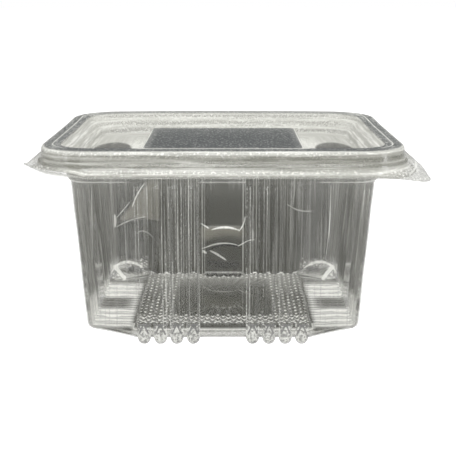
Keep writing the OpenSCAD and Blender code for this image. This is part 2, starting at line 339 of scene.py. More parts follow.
def near_line(x, z, points):
    """Distance of each point from a line through the given points, and the place along it from 0 to 1."""
    best, where = np.full(np.shape(x), 1e9), np.zeros(np.shape(x))
    lengths = [math.dist(points[i], points[i + 1]) for i in range(len(points) - 1)]
    done = 0.0
    for (ax, az), (bx, bz), length in zip(points, points[1:], lengths):
        t = np.clip(((x - ax) * (bx - ax) + (z - az) * (bz - az)) / length ** 2, 0, 1)
        d = np.hypot(x - ax - t * (bx - ax), z - az - t * (bz - az))
        closer = d < best
        best = np.where(closer, d, best)
        where = np.where(closer, (done + t * length) / sum(lengths), where)
        done += length
    return best, where


def swoosh_dent(x, z):
    """The dent in the middle of the back wall, pressed in between an arched upper edge and a curved lower one."""
    top = 26.2 + 0.9 * np.sin(np.clip((x + 14) / 27, 0, 1) * math.pi)
    low = 15.5 + 5.0 * np.sin(np.clip((x + 15) / 34, 0, 1) * math.pi)
    ends = smooth(-12.5, -9.5, x) * (1 - smooth(6, 13, x))
    inside = smooth(-0.1, 1.2, top - z) * smooth(-0.3, 4.5, z - low)
    return ends * inside


def fold_dent(x, z):
    """The folded patch at the left of the back wall, below a slanted crease."""
    slant = (z - 28.8) - (x + 52) * 1.36
    below = smooth(0, 1.6, -slant)
    base = 28.6 + 1.6 * np.sin(np.clip((x + 52) / 21, 0, 1) * math.pi)
    across = (1 - smooth(-33.5, -30.5, x)) * smooth(-53, -51, x)
    return below * smooth(0, 1.6, z - base) * (1 - smooth(46, 54, z)) * across


def crease(x, z, points, width):
    """A narrow ridge along a line, with soft ends."""
    d, where = near_line(x, z, points)
    return hump(d, 0, width) * smooth(0, 0.12, where) * (1 - smooth(0.88, 1, where))


# Creases of the walls: points (x, z), width and depth
BACK_CREASES = [
    ([(-9.5, 17.2), (-4, 14.4), (2, 10.6)], 0.9, 0.6),
    ([(-46, 26), (-41, 22), (-39, 14), (-38, 8)], 0.8, 0.5),
    ([(-20, 40), (-19, 35), (-20.5, 31)], 0.7, 0.4),
    ([(13, 34), (12.4, 29), (15.5, 23.5), (13, 19.5)], 0.8, 0.7),
]
FRONT_CREASES = [
    ([(41.6, 66), (41.9, 58), (41.0, 50), (40.2, 36)], 0.7, 0.45),
    ([(47.5, 62), (48.1, 57), (47.0, 52), (47.9, 47), (47.0, 40), (47.2, 30)], 0.6, -0.4),
    ([(-53.5, 64), (-53.2, 50), (-52.6, 36)], 0.5, -0.3),
]

# The tray

panel_top = FOOT_H + PANEL_H
half_wall_foot = HALF_FLOOR + (HALF_MOUTH - HALF_FLOOR) * (WALL_FOOT - FOOT_H) / (SHOULDER_H - FOOT_H)
half_flute_top = HALF_FLOOR + (HALF_MOUTH - HALF_FLOOR) * (FLUTE_TOP - FOOT_H) / (SHOULDER_H - FOOT_H)
ring_in, ring_out = HALF_RING - RING_IN_SET, HALF_RING - RING_OUT_SET
flange_under = FLANGE_H - SHEET
wall_rows = [
    (h - WALL_FOOT) / (FLUTE_TOP - WALL_FOOT)
    for h in [8.5, 11] + list(np.arange(14, 30.5, 0.9)) + list(np.arange(31.5, 51, 1.9)) + [53, 57, 61]
]

tray_loops = [
    tray_loop(np.array([4.0, 5.5]), panel_top, 0.3),
    tray_loop(HALF_FIELD, panel_top, 0.6),
    tray_loop(HALF_PANEL, panel_top, PANEL_R),
    tray_loop(HALF_PANEL + PANEL_SLOPE, FOOT_H, PANEL_R),
    tray_loop(HALF_FLOOR - FOOT_L - EDGE_W - FOOT_SLOPE, FOOT_H, 0, ridge=FOOT_H + RIDGE_H, cut=True),
    tray_loop(HALF_FLOOR - FOOT_L - EDGE_W, FOOT_H, 0, foot=0, ridge=FOOT_H + RIDGE_H, cut=True),
    tray_loop(HALF_FLOOR - EDGE_W, FOOT_H, 0, foot=0, ridge=FOOT_H + RIDGE_H, cut=True),
    tray_loop(HALF_FLOOR, FOOT_H + EDGE_H, 0, FLUTE_DEPTH / 2, foot=EDGE_H, cut=True),
    tray_loop(half_wall_foot, WALL_FOOT, LOW_R, FLUTE_DEPTH, bend=CORNER_H),
    tray_loop(half_flute_top, FLUTE_TOP, HIGH_R, FLUTE_DEPTH),
    tray_loop(HALF_MOUTH, SHOULDER_H, HIGH_R),
    tray_loop(HALF_MOUTH + SHOULDER_LEDGE, SHOULDER_H + SHOULDER_RISE, HIGH_R + SHOULDER_LEDGE),
    tray_loop(ring_in, TRAY_RING_Z, RING_R - RING_IN_SET),
    tray_loop(ring_out, TRAY_RING_Z, RING_R - RING_OUT_SET),
    tray_loop(ring_out + 0.7, flange_under + 0.8, RING_R - 0.8),
    tray_loop(ring_out + 1.3, flange_under, RING_R - 0.2),
    tray_loop(HALF_FLANGE - [FLANGE_SET, 0], flange_under, FLANGE_R - FLANGE_SET),
]
tray_fillets = [0, 0, 0.7, 0.6, 0.5, 0.7, 0.9, 1.0, 1.6, 0.8, 0.6, 0.6, 0.9, 0.9, 0.4, 0.4, 0]
tray_spans = [
    [], even(1), even(18), even(1), even(3), [], even(1), [], even(2), wall_rows, [], [],
    even(2), even(1), even(1), [], even(2)
]
tray_grid, tray_place = rounded_rows(tray_loops, tray_fillets, tray_spans)

# Places on the tray are counted in loops, from the middle of the panel to the flange's edge
PANEL_EDGE, PANEL_FOOT, BASE_EDGE, WALL_LOW, WALL_TOP, LEDGE, FLANGE_EDGE = 2, 3, 7, 8, 9, 11, 16


def stud_field(x, y):
    """Height of the panel's round studs, which stand in staggered rows."""
    height = np.zeros_like(x)
    for shift in (0.0, 0.5):
        middle_x = (np.round(x / STUD_PITCH - shift) + shift) * STUD_PITCH
        middle_y = (np.round(y / STUD_PITCH - shift) + shift) * STUD_PITCH
        framed = (np.abs(middle_x) > HALF_FIELD[0] + 0.3) | (np.abs(middle_y) > HALF_FIELD[1] + 0.3)
        inside = (np.abs(middle_x) < HALF_PANEL[0] - 1.0) & (np.abs(middle_y) < HALF_PANEL[1] - 1.0)
        d = np.hypot(x - middle_x, y - middle_y) / STUD_R
        dome = np.clip(1 - d ** 2, 0, 1) ** 1.5
        height = np.maximum(height, np.where(framed & inside, dome, 0))
    return STUD_H * height


place = tray_place[:, None] + 0 * tray_grid[:, :, 0]
on_panel = place < PANEL_EDGE - 0.05
studs = np.where(on_panel, stud_field(tray_grid[:, :, 0], tray_grid[:, :, 1]), 0)
tray_grid[:, :, 2] += studs

on_wall = (place > WALL_LOW) & (place < WALL_TOP)
x, y, z = (tray_grid[:, :, k].copy() for k in range(3))
back_wall = on_wall & (y > 30) & (np.abs(x) < 56)
front_wall = on_wall & (y < -30) & (np.abs(x) < 56)
swoosh = np.where(back_wall, swoosh_dent(x, z), 0)
fold = np.where(back_wall, fold_dent(x, z), 0)
inward = SWOOSH_DEPTH * swoosh + FOLD_DEPTH * fold
for points, width, depth in BACK_CREASES:
    inward += depth * np.where(back_wall, crease(x, z, points, width), 0)
for points, width, depth in FRONT_CREASES:
    inward -= depth * np.where(front_wall, crease(x, z, points, width), 0)
tray_grid[:, :, 1] -= inward
waves = WAVE_DEPTH * np.sin(x / 5.3 + z / 9) * np.sin(y / 6.1 - z / 13 + 1.0)
waves = waves * smooth(8, 16, z) * (1 - smooth(55, 62, z))
outward = np.stack([np.sign(x) * (np.abs(x) > 52), np.sign(y) * (np.abs(x) <= 52), 0 * x], -1)
tray_grid += np.where(on_wall[:, :, None], outward * waves[:, :, None], 0)

tray_grid[:, :, 2] += flange_turn(x, y) * smooth(FLANGE_EDGE - 0.8, FLANGE_EDGE, place)

# The lid


def lid_loop(half, z, radii):
    """One loop round the lid, with the radii of its front right, back right, back left and front left corners."""
    points = []
    for wall in range(4):
        along, out = (half[0], half[1]) if wall % 2 == 0 else (half[1], half[0])
        r, r_before = radii[wall], radii[(wall + 3) % 4]
        t = np.linspace(0, 1, 27)[1:-1]
        side = -(along - r_before) + (2 * along - r - r_before) * t
        arc = np.linspace(0, math.pi / 2, 21)
        a = np.concatenate([side, along - r + r * np.sin(arc)])
        o = np.concatenate([out + 0 * side, out - r + r * np.cos(arc)])
        x, y = turned(wall, a, o)
        points.append(np.stack([x, y, z + 0 * x], 1))
    return np.concatenate(points)


def round_loop(half, z, r):
    """One loop round the lid, with four corners alike."""
    return lid_loop(half, z, [r] * 4)


riser_h = (RING_Z - TROUGH_Z - STEPS * STEP_RISE + STEP_RISE) / STEPS
recess_foot = HALF_RING - RING_TOP_W - STEPS_W
lid_loops = [
    round_loop(np.array([3.0, 2.9]), PLATEAU_Z, 0.3),
    round_loop(HALF_PLATEAU, PLATEAU_Z, 3),
    round_loop(HALF_PLATEAU + 1.5, TROUGH_Z, 4.5),
]
for step in range(STEPS):
    foot_z = TROUGH_Z + step * (riser_h + STEP_RISE)
    lid_loops.append(round_loop(recess_foot + step * STEP_W, foot_z, RECESS_R))
    lid_loops.append(round_loop(recess_foot + step * STEP_W + RISER_SLOPE, foot_z + riser_h, RECESS_R))
lid_loops += [
    round_loop(HALF_RING, RING_Z, RING_R),
    round_loop(HALF_RING + 0.7, SKIRT_STEP_Z, RING_R + 0.7),
    round_loop(HALF_RING + 1.7, SKIRT_STEP_Z - 0.8, RING_R + 1.7),
    round_loop(HALF_RING + 2.5, LID_FLANGE + 0.3, RING_R + 2.5),
    lid_loop(HALF_FLANGE, LID_FLANGE, [TAB_R, FLANGE_R, FLANGE_R, FLANGE_R]),
]
RING_LINE = 0.42
RING_ROWS = [0.2, 0.36, RING_LINE, 0.48, 0.6, 0.8]
lid_fillets = [0, 0.7, 0.9, 0.8, 0.6, 0.6, 0.6, 0.6, 0.9, 1.1, 0.5, 0.5, 0.6, 0]
lid_spans = [
    [], even(8), even(2), even(6), even(1), even(1), even(1), even(1), even(1), RING_ROWS,
    even(2), [], even(1), even(9)
]
lid_grid, lid_place = rounded_rows(lid_loops, lid_fillets, lid_spans)

# Places on the lid are counted in loops too, from the middle of the plateau to the flange's edge
PLATEAU_EDGE, TROUGH_IN, TROUGH_OUT, RING_IN, RING_OUT, SKIRT_FOOT = 1, 2, 3, 8, 9, 12

lid_row = lid_place[:, None] + 0 * lid_grid[:, :, 0]
x, y, z = (lid_grid[:, :, k].copy() for k in range(3))
bow = LID_BOW * smooth(5, 61, y) * (1 - 0.5 * (x / 70) ** 2)
bow = bow * np.clip((lid_row - TROUGH_OUT) / (RING_IN - TROUGH_OUT), 0, 1)
lid_grid[:, :, 2] += bow * (1 - smooth(RING_OUT + 0.5, SKIRT_FOOT, lid_row))
lift = flange_turn(x, y)
raised, drooped = smooth(SKIRT_FOOT - 0.6, SKIRT_FOOT, lid_row), smooth(SKIRT_FOOT, SKIRT_FOOT + 1, lid_row)
lid_grid[:, :, 2] += lift * np.where(lift > 0, raised, drooped)

# Materials


def new_group(name, inputs, outputs):
    """An empty shader node group with named inputs and outputs."""
    group = bpy.data.node_groups.new(name, "ShaderNodeTree")
    for label, value in inputs:
        socket = group.interface.new_socket(label, in_out="INPUT", socket_type="NodeSocketFloat")
        socket.default_value = value
    for label in outputs:
        group.interface.new_socket(label, in_out="OUTPUT", socket_type="NodeSocketFloat")
    return group, group.nodes.new("NodeGroupInput"), group.nodes.new("NodeGroupOutput")


def math_node(tree, operation, a, b=None, clamp=False):
    """A math node whose inputs are sockets or numbers. Returns its output."""
    node = tree.nodes.new("ShaderNodeMath")
    node.operation, node.use_clamp = operation, clamp
    for socket, value in zip(node.inputs, (a, b)):
        if isinstance(value, (int, float)):
            socket.default_value = value
        elif value is not None:
            tree.links.new(value, socket)
    return node.outputs[0]


def ramp_node(tree, value, low, high):
    """A soft ramp of a value from 0 at low to 1 at high."""
    node = tree.nodes.new("ShaderNodeMapRange")
    node.interpolation_type = "SMOOTHSTEP"
    tree.links.new(value, node.inputs["Value"])
    for label, limit in (("From Min", low), ("From Max", high)):
        if isinstance(limit, (int, float)):
            node.inputs[label].default_value = limit
        else:
            tree.links.new(limit, node.inputs[label])
    return node.outputs[0]


def product(tree, a, b):
    """The product of two sockets or numbers."""
    return math_node(tree, "MULTIPLY", a, b)


def summed(tree, a, b, clamp=False):
    """The sum of two sockets or numbers."""
    return math_node(tree, "ADD", a, b, clamp)


def less(tree, a, b):
    """The first of two sockets or numbers, less the second."""
    return math_node(tree, "SUBTRACT", a, b)


def size_of(tree, value):
    """The size of a value, without its sign."""
    return math_node(tree, "ABSOLUTE", value)


def larger(tree, a, b):
    """The larger of two sockets or numbers."""
    return math_node(tree, "MAXIMUM", a, b)


def grain_node(group, vector, scale, detail):
    """Noise at a vector socket, with a scale that is a socket or a number. Returns its value."""
    grain = group.nodes.new("ShaderNodeTexNoise")
    grain.inputs["Detail"].default_value = detail
    group.links.new(vector, grain.inputs["Vector"])
    if isinstance(scale, float):
        grain.inputs["Scale"].default_value = scale
    else:
        group.links.new(scale, grain.inputs["Scale"])
    return grain.outputs["Fac"]


def object_place(group):
    """A socket of the point's place on its own piece, in metres."""
    return group.nodes.new("ShaderNodeTexCoord").outputs["Object"]


def place_in_mm(group):
    """Sockets of a point's x, y and z in millimetres."""
    parts = group.nodes.new("ShaderNodeSeparateXYZ")
    group.links.new(object_place(group), parts.inputs[0])
    return [product(group, parts.outputs[k], 1000.0) for k in range(3)]


def sheet_grain(group, round_scale, across_scale, detail):
    """Noise on the sheet's flat map, joined without a seam round the container. Returns its value."""
    flat = group.nodes.new("ShaderNodeUVMap")
    flat.uv_map = "sheet"
    parts = group.nodes.new("ShaderNodeSeparateXYZ")
    group.links.new(flat.outputs[0], parts.inputs[0])
    angle = product(group, parts.outputs[0], 2 * math.pi)
    joined = group.nodes.new("ShaderNodeCombineXYZ")
    for k, way in enumerate(("COSINE", "SINE")):
        group.links.new(product(group, math_node(group, way, angle), round_scale), joined.inputs[k])
    group.links.new(product(group, parts.outputs[1], across_scale), joined.inputs[2])
    return grain_node(group, joined.outputs[0], 1.0, detail)


def sheet_streaks():
    """Streaks of the formed sheet at a given fineness round the sheet and across it: painted reflection streaks where
    they pale its haze, and ripples where they bump and roughen it.
    """
    group, given, out = new_group("sheet_streaks", [("Round", 60.0), ("Across", 4.0)], ["Streak", "Fine"])
    for label, gain in (("Streak", 1.0), ("Fine", 2.7)):
        scales = [product(group, given.outputs[way], gain) for way in ("Round", "Across")]
        group.links.new(ramp_node(group, sheet_grain(group, *scales, 3.0), 0.3, 0.7), out.inputs[label])
    return group


def stipple_dots():
    """Small raised dots of the textured corners, and a finer glitter."""
    group, given, out = new_group("stipple_dots", [("Pitch", 640.0), ("Glitter", 1100.0)], ["Dot", "Glitter"])
    drawn_out = group.nodes.new("ShaderNodeMapping")
    drawn_out.inputs["Scale"].default_value = (1, 0.5, 1)
    group.links.new(object_place(group), drawn_out.inputs["Vector"])
    dots = group.nodes.new("ShaderNodeTexVoronoi")
    dots.inputs["Randomness"].default_value = 0.55
    group.links.new(drawn_out.outputs[0], dots.inputs["Vector"])
    group.links.new(given.outputs["Pitch"], dots.inputs["Scale"])
    group.links.new(ramp_node(group, dots.outputs["Distance"], 0.42, 0.16), out.inputs["Dot"])
    glitter = grain_node(group, drawn_out.outputs[0], given.outputs["Glitter"], 2.0)
    group.links.new(ramp_node(group, glitter, 0.5, 0.68), out.inputs["Glitter"])
    return group


def sheet_sparks():
    """Short bright dashes along the sheet, where small ripples catch the light."""
    group, given, out = new_group("sheet_sparks", [("Round", 70.0), ("Across", 130.0)], ["Spark"])
    grain = sheet_grain(group, given.outputs["Round"], given.outputs["Across"], 1.0)
    group.links.new(ramp_node(group, grain, 0.52, 0.66), out.inputs["Spark"])
    return group


def from_flute(group, signed):
    """Sockets of the distance from the middle of the nearest flute, and of a mask of the fluted part."""
    along = size_of(group, signed)
    turn = math_node(group, "DIVIDE", less(group, along, PLAIN_STRIP / 2), FLUTE_PITCH)
    middle = less(group, math_node(group, "FRACT", turn), 0.5)
    off = product(group, size_of(group, middle), FLUTE_PITCH)
    started = math_node(group, "GREATER_THAN", turn, 0.0)
    not_ended = math_node(group, "LESS_THAN", turn, float(FLUTE_COUNT))
    return off, product(group, started, not_ended)


def flute_light_and_shade():
    """Painted highlights in thin lines along both edges of every flute, some brighter than others, and painted shade
    in the dark lines between them.
    """
    group, given, out = new_group("flute_light_and_shade", [("Width", 0.26)], ["Line", "Shade"])
    x, y, _ = place_in_mm(group)
    on_long = math_node(group, "GREATER_THAN", size_of(group, y), 44.0)
    signed = summed(group, product(group, x, on_long), product(group, y, less(group, 1.0, on_long)))
    off, zone = from_flute(group, signed)
    lines = 0.0
    for place in (1.25, 2.5):
        gap = size_of(group, less(group, off, place))
        near = ramp_node(group, math_node(group, "DIVIDE", gap, given.outputs["Width"]), 1.0, 0.3)
        lines = larger(group, near, lines)
    chance = group.nodes.new("ShaderNodeTexWhiteNoise")
    chance.noise_dimensions = "2D"
    each = group.nodes.new("ShaderNodeCombineXYZ")
    group.links.new(math_node(group, "FLOOR", math_node(group, "DIVIDE", signed, 1.9)), each.inputs[0])
    group.links.new(math_node(group, "SIGN", y), each.inputs[1])
    group.links.new(each.outputs[0], chance.inputs["Vector"])
    level = summed(group, product(group, chance.outputs["Value"], 0.8), 0.2)
    level = product(group, level, ramp_node(group, x, 32.0, 14.0))
    group.links.new(product(group, lines, product(group, zone, level)), out.inputs["Line"])
    gap = size_of(group, less(group, off, 1.9))
    dim = product(group, ramp_node(group, gap, 0.5, 0.15), zone)
    dimmer = less(group, 1.0, chance.outputs["Value"])
    group.links.new(product(group, dim, dimmer), out.inputs["Shade"])
    return group


def foot_light_and_shade():
    """Painted shade of dark folds that part above every foot, and painted mottled lights of the foot itself."""
    group, given, out = new_group("foot_light_and_shade", [("Top", 9.4), ("Grain", 850.0)], ["Fold", "Pale"])
    x, y, z = place_in_mm(group)
    off, zone = from_flute(group, x)
    zone = product(group, zone, math_node(group, "GREATER_THAN", size_of(group, y), 38.0))
    drop = less(group, given.outputs["Top"], z)
    body = product(group, ramp_node(group, off, 3.0, 2.5), ramp_node(group, drop, -0.2, 0.5))
    body = product(group, body, zone)
    gap = size_of(group, less(group, off, product(group, drop, 0.42)))
    legs = product(group, ramp_node(group, gap, 0.5, 0.25), ramp_node(group, drop, 5.2, 4.0))
    bar = size_of(group, less(group, drop, 0.5))
    bar = product(group, ramp_node(group, bar, 0.55, 0.25), ramp_node(group, off, 2.2, 1.7))
    grain = grain_node(group, object_place(group), given.outputs["Grain"], 1.0)
    spots = product(group, ramp_node(group, grain, 0.47, 0.4), 0.85)
    fold = larger(group, larger(group, legs, bar), spots)
    group.links.new(product(group, fold, body), out.inputs["Fold"])
    pale = larger(group, ramp_node(group, grain, 0.48, 0.58), 0.3)
    group.links.new(product(group, pale, body), out.inputs["Pale"])
    return group


def floor_waves():
    """Wavy lines of light across the ridged strips of the floor."""
    group, given, out = new_group("floor_waves", [("Spacing", 3.3), ("Wobble", 3.2)], ["Wave"])
    y = place_in_mm(group)[1]
    grain = grain_node(group, object_place(group), 130.0, 1.0)
    wobble = product(group, less(group, grain, 0.5), given.outputs["Wobble"])
    turn = math_node(group, "DIVIDE", summed(group, y, wobble), given.outputs["Spacing"])
    turn = math_node(group, "FRACT", turn)
    off = size_of(group, less(group, turn, 0.5))
    group.links.new(ramp_node(group, off, 0.12, 0.36), out.inputs["Wave"])
    return group


def trough_shade():
    """The dark domes that the lid's trough mirrors at both sides of its plateau."""
    group, given, out = new_group("trough_shade", [("Width", 8.6), ("Length", 21.8)], ["Shade"])
    x, y, z = place_in_mm(group)
    across = less(group, size_of(group, x), 47.7)
    across = math_node(group, "DIVIDE", across, given.outputs["Width"])
    along = math_node(group, "DIVIDE", summed(group, y, 5.0), given.outputs["Length"])
    squares = [product(group, way, way) for way in (across, along)]
    dome = ramp_node(group, summed(group, *squares), 1.05, 0.75)
    low = ramp_node(group, z, 74.4, 73.8)
    group.links.new(product(group, dome, low), out.inputs["Shade"])
    return group


def stud_glints():
    """A small bright spot on top of each stud of the panel, and the lace of lines between its front studs."""
    group, given, out = new_group("stud_glints", [("Size", 0.15)], ["Glint"])
    x, y, _ = place_in_mm(group)
    u, v = (summed(group, math_node(group, "DIVIDE", way, STUD_PITCH), 100.5) for way in (x, y))

    def from_middle(value):
        return size_of(group, less(group, math_node(group, "FRACT", value), 0.5))

    spots = []
    for shift in (0.0, 0.5):
        squares = [from_middle(less(group, way, shift)) for way in (u, v)]
        squares = [product(group, off, off) for off in squares]
        spots.append(math_node(group, "SQRT", summed(group, *squares)))
    near = math_node(group, "MINIMUM", *spots)
    spot = ramp_node(group, near, given.outputs["Size"], product(group, given.outputs["Size"], 0.4))
    slants = [from_middle(math_node(group, way, u, v)) for way in ("ADD", "SUBTRACT")]
    lace = ramp_node(group, math_node(group, "MINIMUM", *slants), 0.1, 0.03)
    ends = ramp_node(group, product(group, y, -1.0), HALF_FIELD[1] - 0.6, HALF_FIELD[1])
    lace = product(group, product(group, lace, ends), 0.7)
    group.links.new(larger(group, spot, lace), out.inputs["Glint"])
    return group


def bent_line():
    """A thin line on a wall: a parabola with soft ends."""
    names = ("Along", "Across", "Level", "Slope", "Curve", "Low", "High", "Width")
    group, given, out = new_group("bent_line", [(label, 1.0) for label in names], ["Line"])
    along, across, level, slope, curve, low, high, width = (given.outputs[label] for label in names)
    square = product(group, along, along)
    path = summed(group, product(group, curve, square), product(group, slope, along))
    off = less(group, across, summed(group, path, level))
    part = math_node(group, "DIVIDE", less(group, along, low), less(group, high, low))
    belly = product(group, part, less(group, 1.0, part))
    width = product(group, width, summed(group, product(group, belly, 2.8), 0.45))
    near = ramp_node(group, size_of(group, math_node(group, "DIVIDE", off, width)), 1.0, 0.3)
    start = ramp_node(group, along, low, summed(group, low, 1.2))
    end = ramp_node(group, along, high, less(group, high, 1.2))
    line = product(group, near, product(group, start, end))
    group.links.new(line, out.inputs["Line"])
    return group


# Painted highlight and shade lines of the dents: wall (1 back, -1 front), upright or not, three points (x, z) in
# millimetres, width and shade
WALL_LINES = [
    (1, False, [(-6.6, 25.2), (0.1, 26.5), (8.2, 24.9)], 0.55, 1.0),
    (1, True, [(6.9, 24.2), (9.5, 27.8), (10.3, 32.0)], 0.45, 0.75),
    (1, False, [(-11.8, 28.2), (-9.6, 27.2), (-6.8, 25.8)], 0.5, 0.8),
    (1, False, [(-11.4, 15.2), (-4.9, 17.7), (7.4, 17.2)], 0.5, 0.6),
    (1, False, [(5.8, 16.3), (11.0, 19.0), (15.4, 20.6)], 0.4, 0.65),
    (1, False, [(-7.4, 15.0), (-2.9, 12.6), (1.6, 9.6)], 0.8, 0.6),
    (1, False, [(-11.0, 14.6), (-9.5, 14.0), (-8.0, 13.4)], 0.8, 0.9),
    (1, True, [(14.0, 26.0), (14.2, 22.0), (14.0, 18.6)], 0.4, 0.5),
    (1, False, [(-9.6, 13.9), (-3.9, 16.6), (8.4, 16.1)], 0.8, -0.95),
    (1, False, [(-9.0, 9.0), (0.0, 7.4), (8.0, 8.0)], 2.4, -0.65),
    (1, True, [(-38.2, 48.4), (-42.1, 42.7), (-44.6, 36.2)], 0.5, 0.8),
    (1, False, [(-53.0, 30.6), (-48.8, 35.3), (-45.0, 40.0)], 0.5, 0.45),
    (1, False, [(-52.6, 30.0), (-48.8, 34.1), (-44.4, 38.8)], 0.6, -0.6),
    (1, False, [(-53.0, 26.3), (-46.3, 29.6), (-37.6, 31.9)], 0.5, 0.4),
    (1, True, [(-53.4, 33.4), (-53.1, 30.0), (-53.4, 26.0)], 0.7, 0.6),
    (1, False, [(-52.6, 25.3), (-46.3, 28.5), (-37.6, 30.8)], 0.6, -0.5),
    (1, True, [(33.0, 61.0), (34.4, 50.0), (33.6, 37.0)], 0.5, 0.3),
    (1, False, [(30.4, 37.9), (36.0, 35.0), (43.6, 34.6)], 0.5, 0.3),
    (1, False, [(-44.6, 21.8), (-38.0, 24.0), (-32.4, 17.4)], 0.5, 0.2),
    (1, False, [(-55.6, 5.6), (-47.6, 9.0), (-39.4, 5.8)], 0.9, 0.65),
    (1, False, [(-47.8, 5.2), (-43.6, 5.6), (-39.6, 4.0)], 1.6, -0.75),
    (1, False, [(-58.6, 4.2), (-55.0, 3.2), (-50.6, 1.0)], 1.8, -0.8),
    (1, False, [(39.6, 4.0), (43.6, 5.6), (47.8, 5.2)], 1.4, -0.55),
    (1, False, [(50.6, 1.0), (55.0, 3.2), (58.6, 4.2)], 1.6, -0.5),
    (1, False, [(-54.6, 8.0), (-48.4, 3.6), (-45.0, 0.6)], 0.9, 0.75),
    (1, False, [(39.4, 5.8), (47.6, 9.0), (55.6, 5.6)], 0.9, 0.65),
    (1, False, [(45.0, 0.6), (48.4, 3.6), (54.6, 8.0)], 0.9, 0.75),
    (-1, True, [(41.6, 67.0), (41.6, 52.0), (40.2, 35.0)], 0.35, 0.6),
    (-1, True, [(42.4, 67.0), (42.4, 52.0), (41.0, 35.0)], 0.35, -0.5),
    (-1, True, [(47.6, 65.0), (48.0, 52.0), (47.0, 39.0)], 0.35, -0.6),
    (-1, True, [(-54.0, 67.0), (-53.5, 61.0), (-53.4, 49.0)], 0.35, -0.6),
    (-1, True, [(-49.8, 63.0), (-49.5, 56.0), (-49.3, 45.0)], 0.35, -0.4),
    (-1, True, [(-50.4, 66.0), (-50.8, 52.0), (-51.2, 35.0)], 0.35, 0.4),
    (-1, True, [(-38.2, 61.0), (-38.0, 42.0), (-37.6, 19.0)], 0.3, 0.45),
]


def line_node(group, line_group, along, across, path, ends):
    """One line of the given group, along a parabola through the points of path, from end to end."""
    curve, slope, level = np.polyfit(*path, 2)
    node = group.nodes.new("ShaderNodeGroup")
    node.node_tree = line_group
    group.links.new(along, node.inputs["Along"])
    group.links.new(across, node.inputs["Across"])
    values = {"Level": level, "Slope": slope, "Curve": curve, "Low": ends[0], "High": ends[1]}
    for label, value in values.items():
        node.inputs[label].default_value = float(value)
    return node


def dent_lines(name, side, line_group):
    """Bright and dark lines where a dented wall catches the light."""
    group, _, out = new_group(name, [], ["Bright", "Dark"])
    x, y, z = place_in_mm(group)
    on_side = ramp_node(group, product(group, y, float(side)), 33.0, 36.0)
    totals = {True: 0.0, False: 0.0}
    for upright, points, width, shade in [line[1:] for line in WALL_LINES if line[0] == side]:
        path = np.array(points).T[::-1] if upright else np.array(points).T
        ways = (z, x) if upright else (x, z)
        node = line_node(group, line_group, *ways, path, (min(path[0]), max(path[0])))
        node.inputs["Width"].default_value = width
        line = product(group, node.outputs["Line"], abs(shade))
        totals[shade > 0] = larger(group, line, totals[shade > 0])
    group.links.new(product(group, totals[True], on_side), out.inputs["Bright"])
    group.links.new(product(group, totals[False], on_side), out.inputs["Dark"])
    return group


# The crease of the lifting tab: three places from back to front, how far out they lie, and the line's ends
TAB_PATH = (-31.0, -45.0, -59.0), (77.3, 75.0, 70.4)
TAB_ENDS = -61.0, -28.0


def tab_crease(line_group):
    """The crease across the lifting tab."""
    group, given, out = new_group("tab_crease", [("Width", 0.5)], ["Line"])
    x, y, z = place_in_mm(group)
    node = line_node(group, line_group, y, x, TAB_PATH, TAB_ENDS)
    group.links.new(given.outputs["Width"], node.inputs["Width"])
    group.links.new(product(group, node.outputs["Line"], ramp_node(group, z, 74.0, 73.0)), out.inputs["Line"])
    return group


STREAKS, STIPPLE, GLINTS, FLUTES, LINE = sheet_streaks(), stipple_dots(), stud_glints(), flute_light_and_shade(), bent_line()
SPARKS, FEET, WAVES, DOMES = sheet_sparks(), foot_light_and_shade(), floor_waves(), trough_shade()
CREASE = tab_crease(LINE)
BACK_DENTS, FRONT_DENTS = dent_lines("back_dents", 1, LINE), dent_lines("front_dents", -1, LINE)
# Near-black of the painted shade, olive of the painted sheen in the dents, and how opaque painted shade makes the
# sheet
NIGHT = (0.018, 0.018, 0.016)
OLIVE = (0.20, 0.19, 0.145)
PAINTED_SHADE_ALPHA = 0.95
UNSEEN_SHARE = 0.12  # how much of the sheet stops rays other than the eye's and mirrored ones
FACING_BLEND = 0.35
GRAZING_FROM, GRAZING_TO = 0.45, 0.72


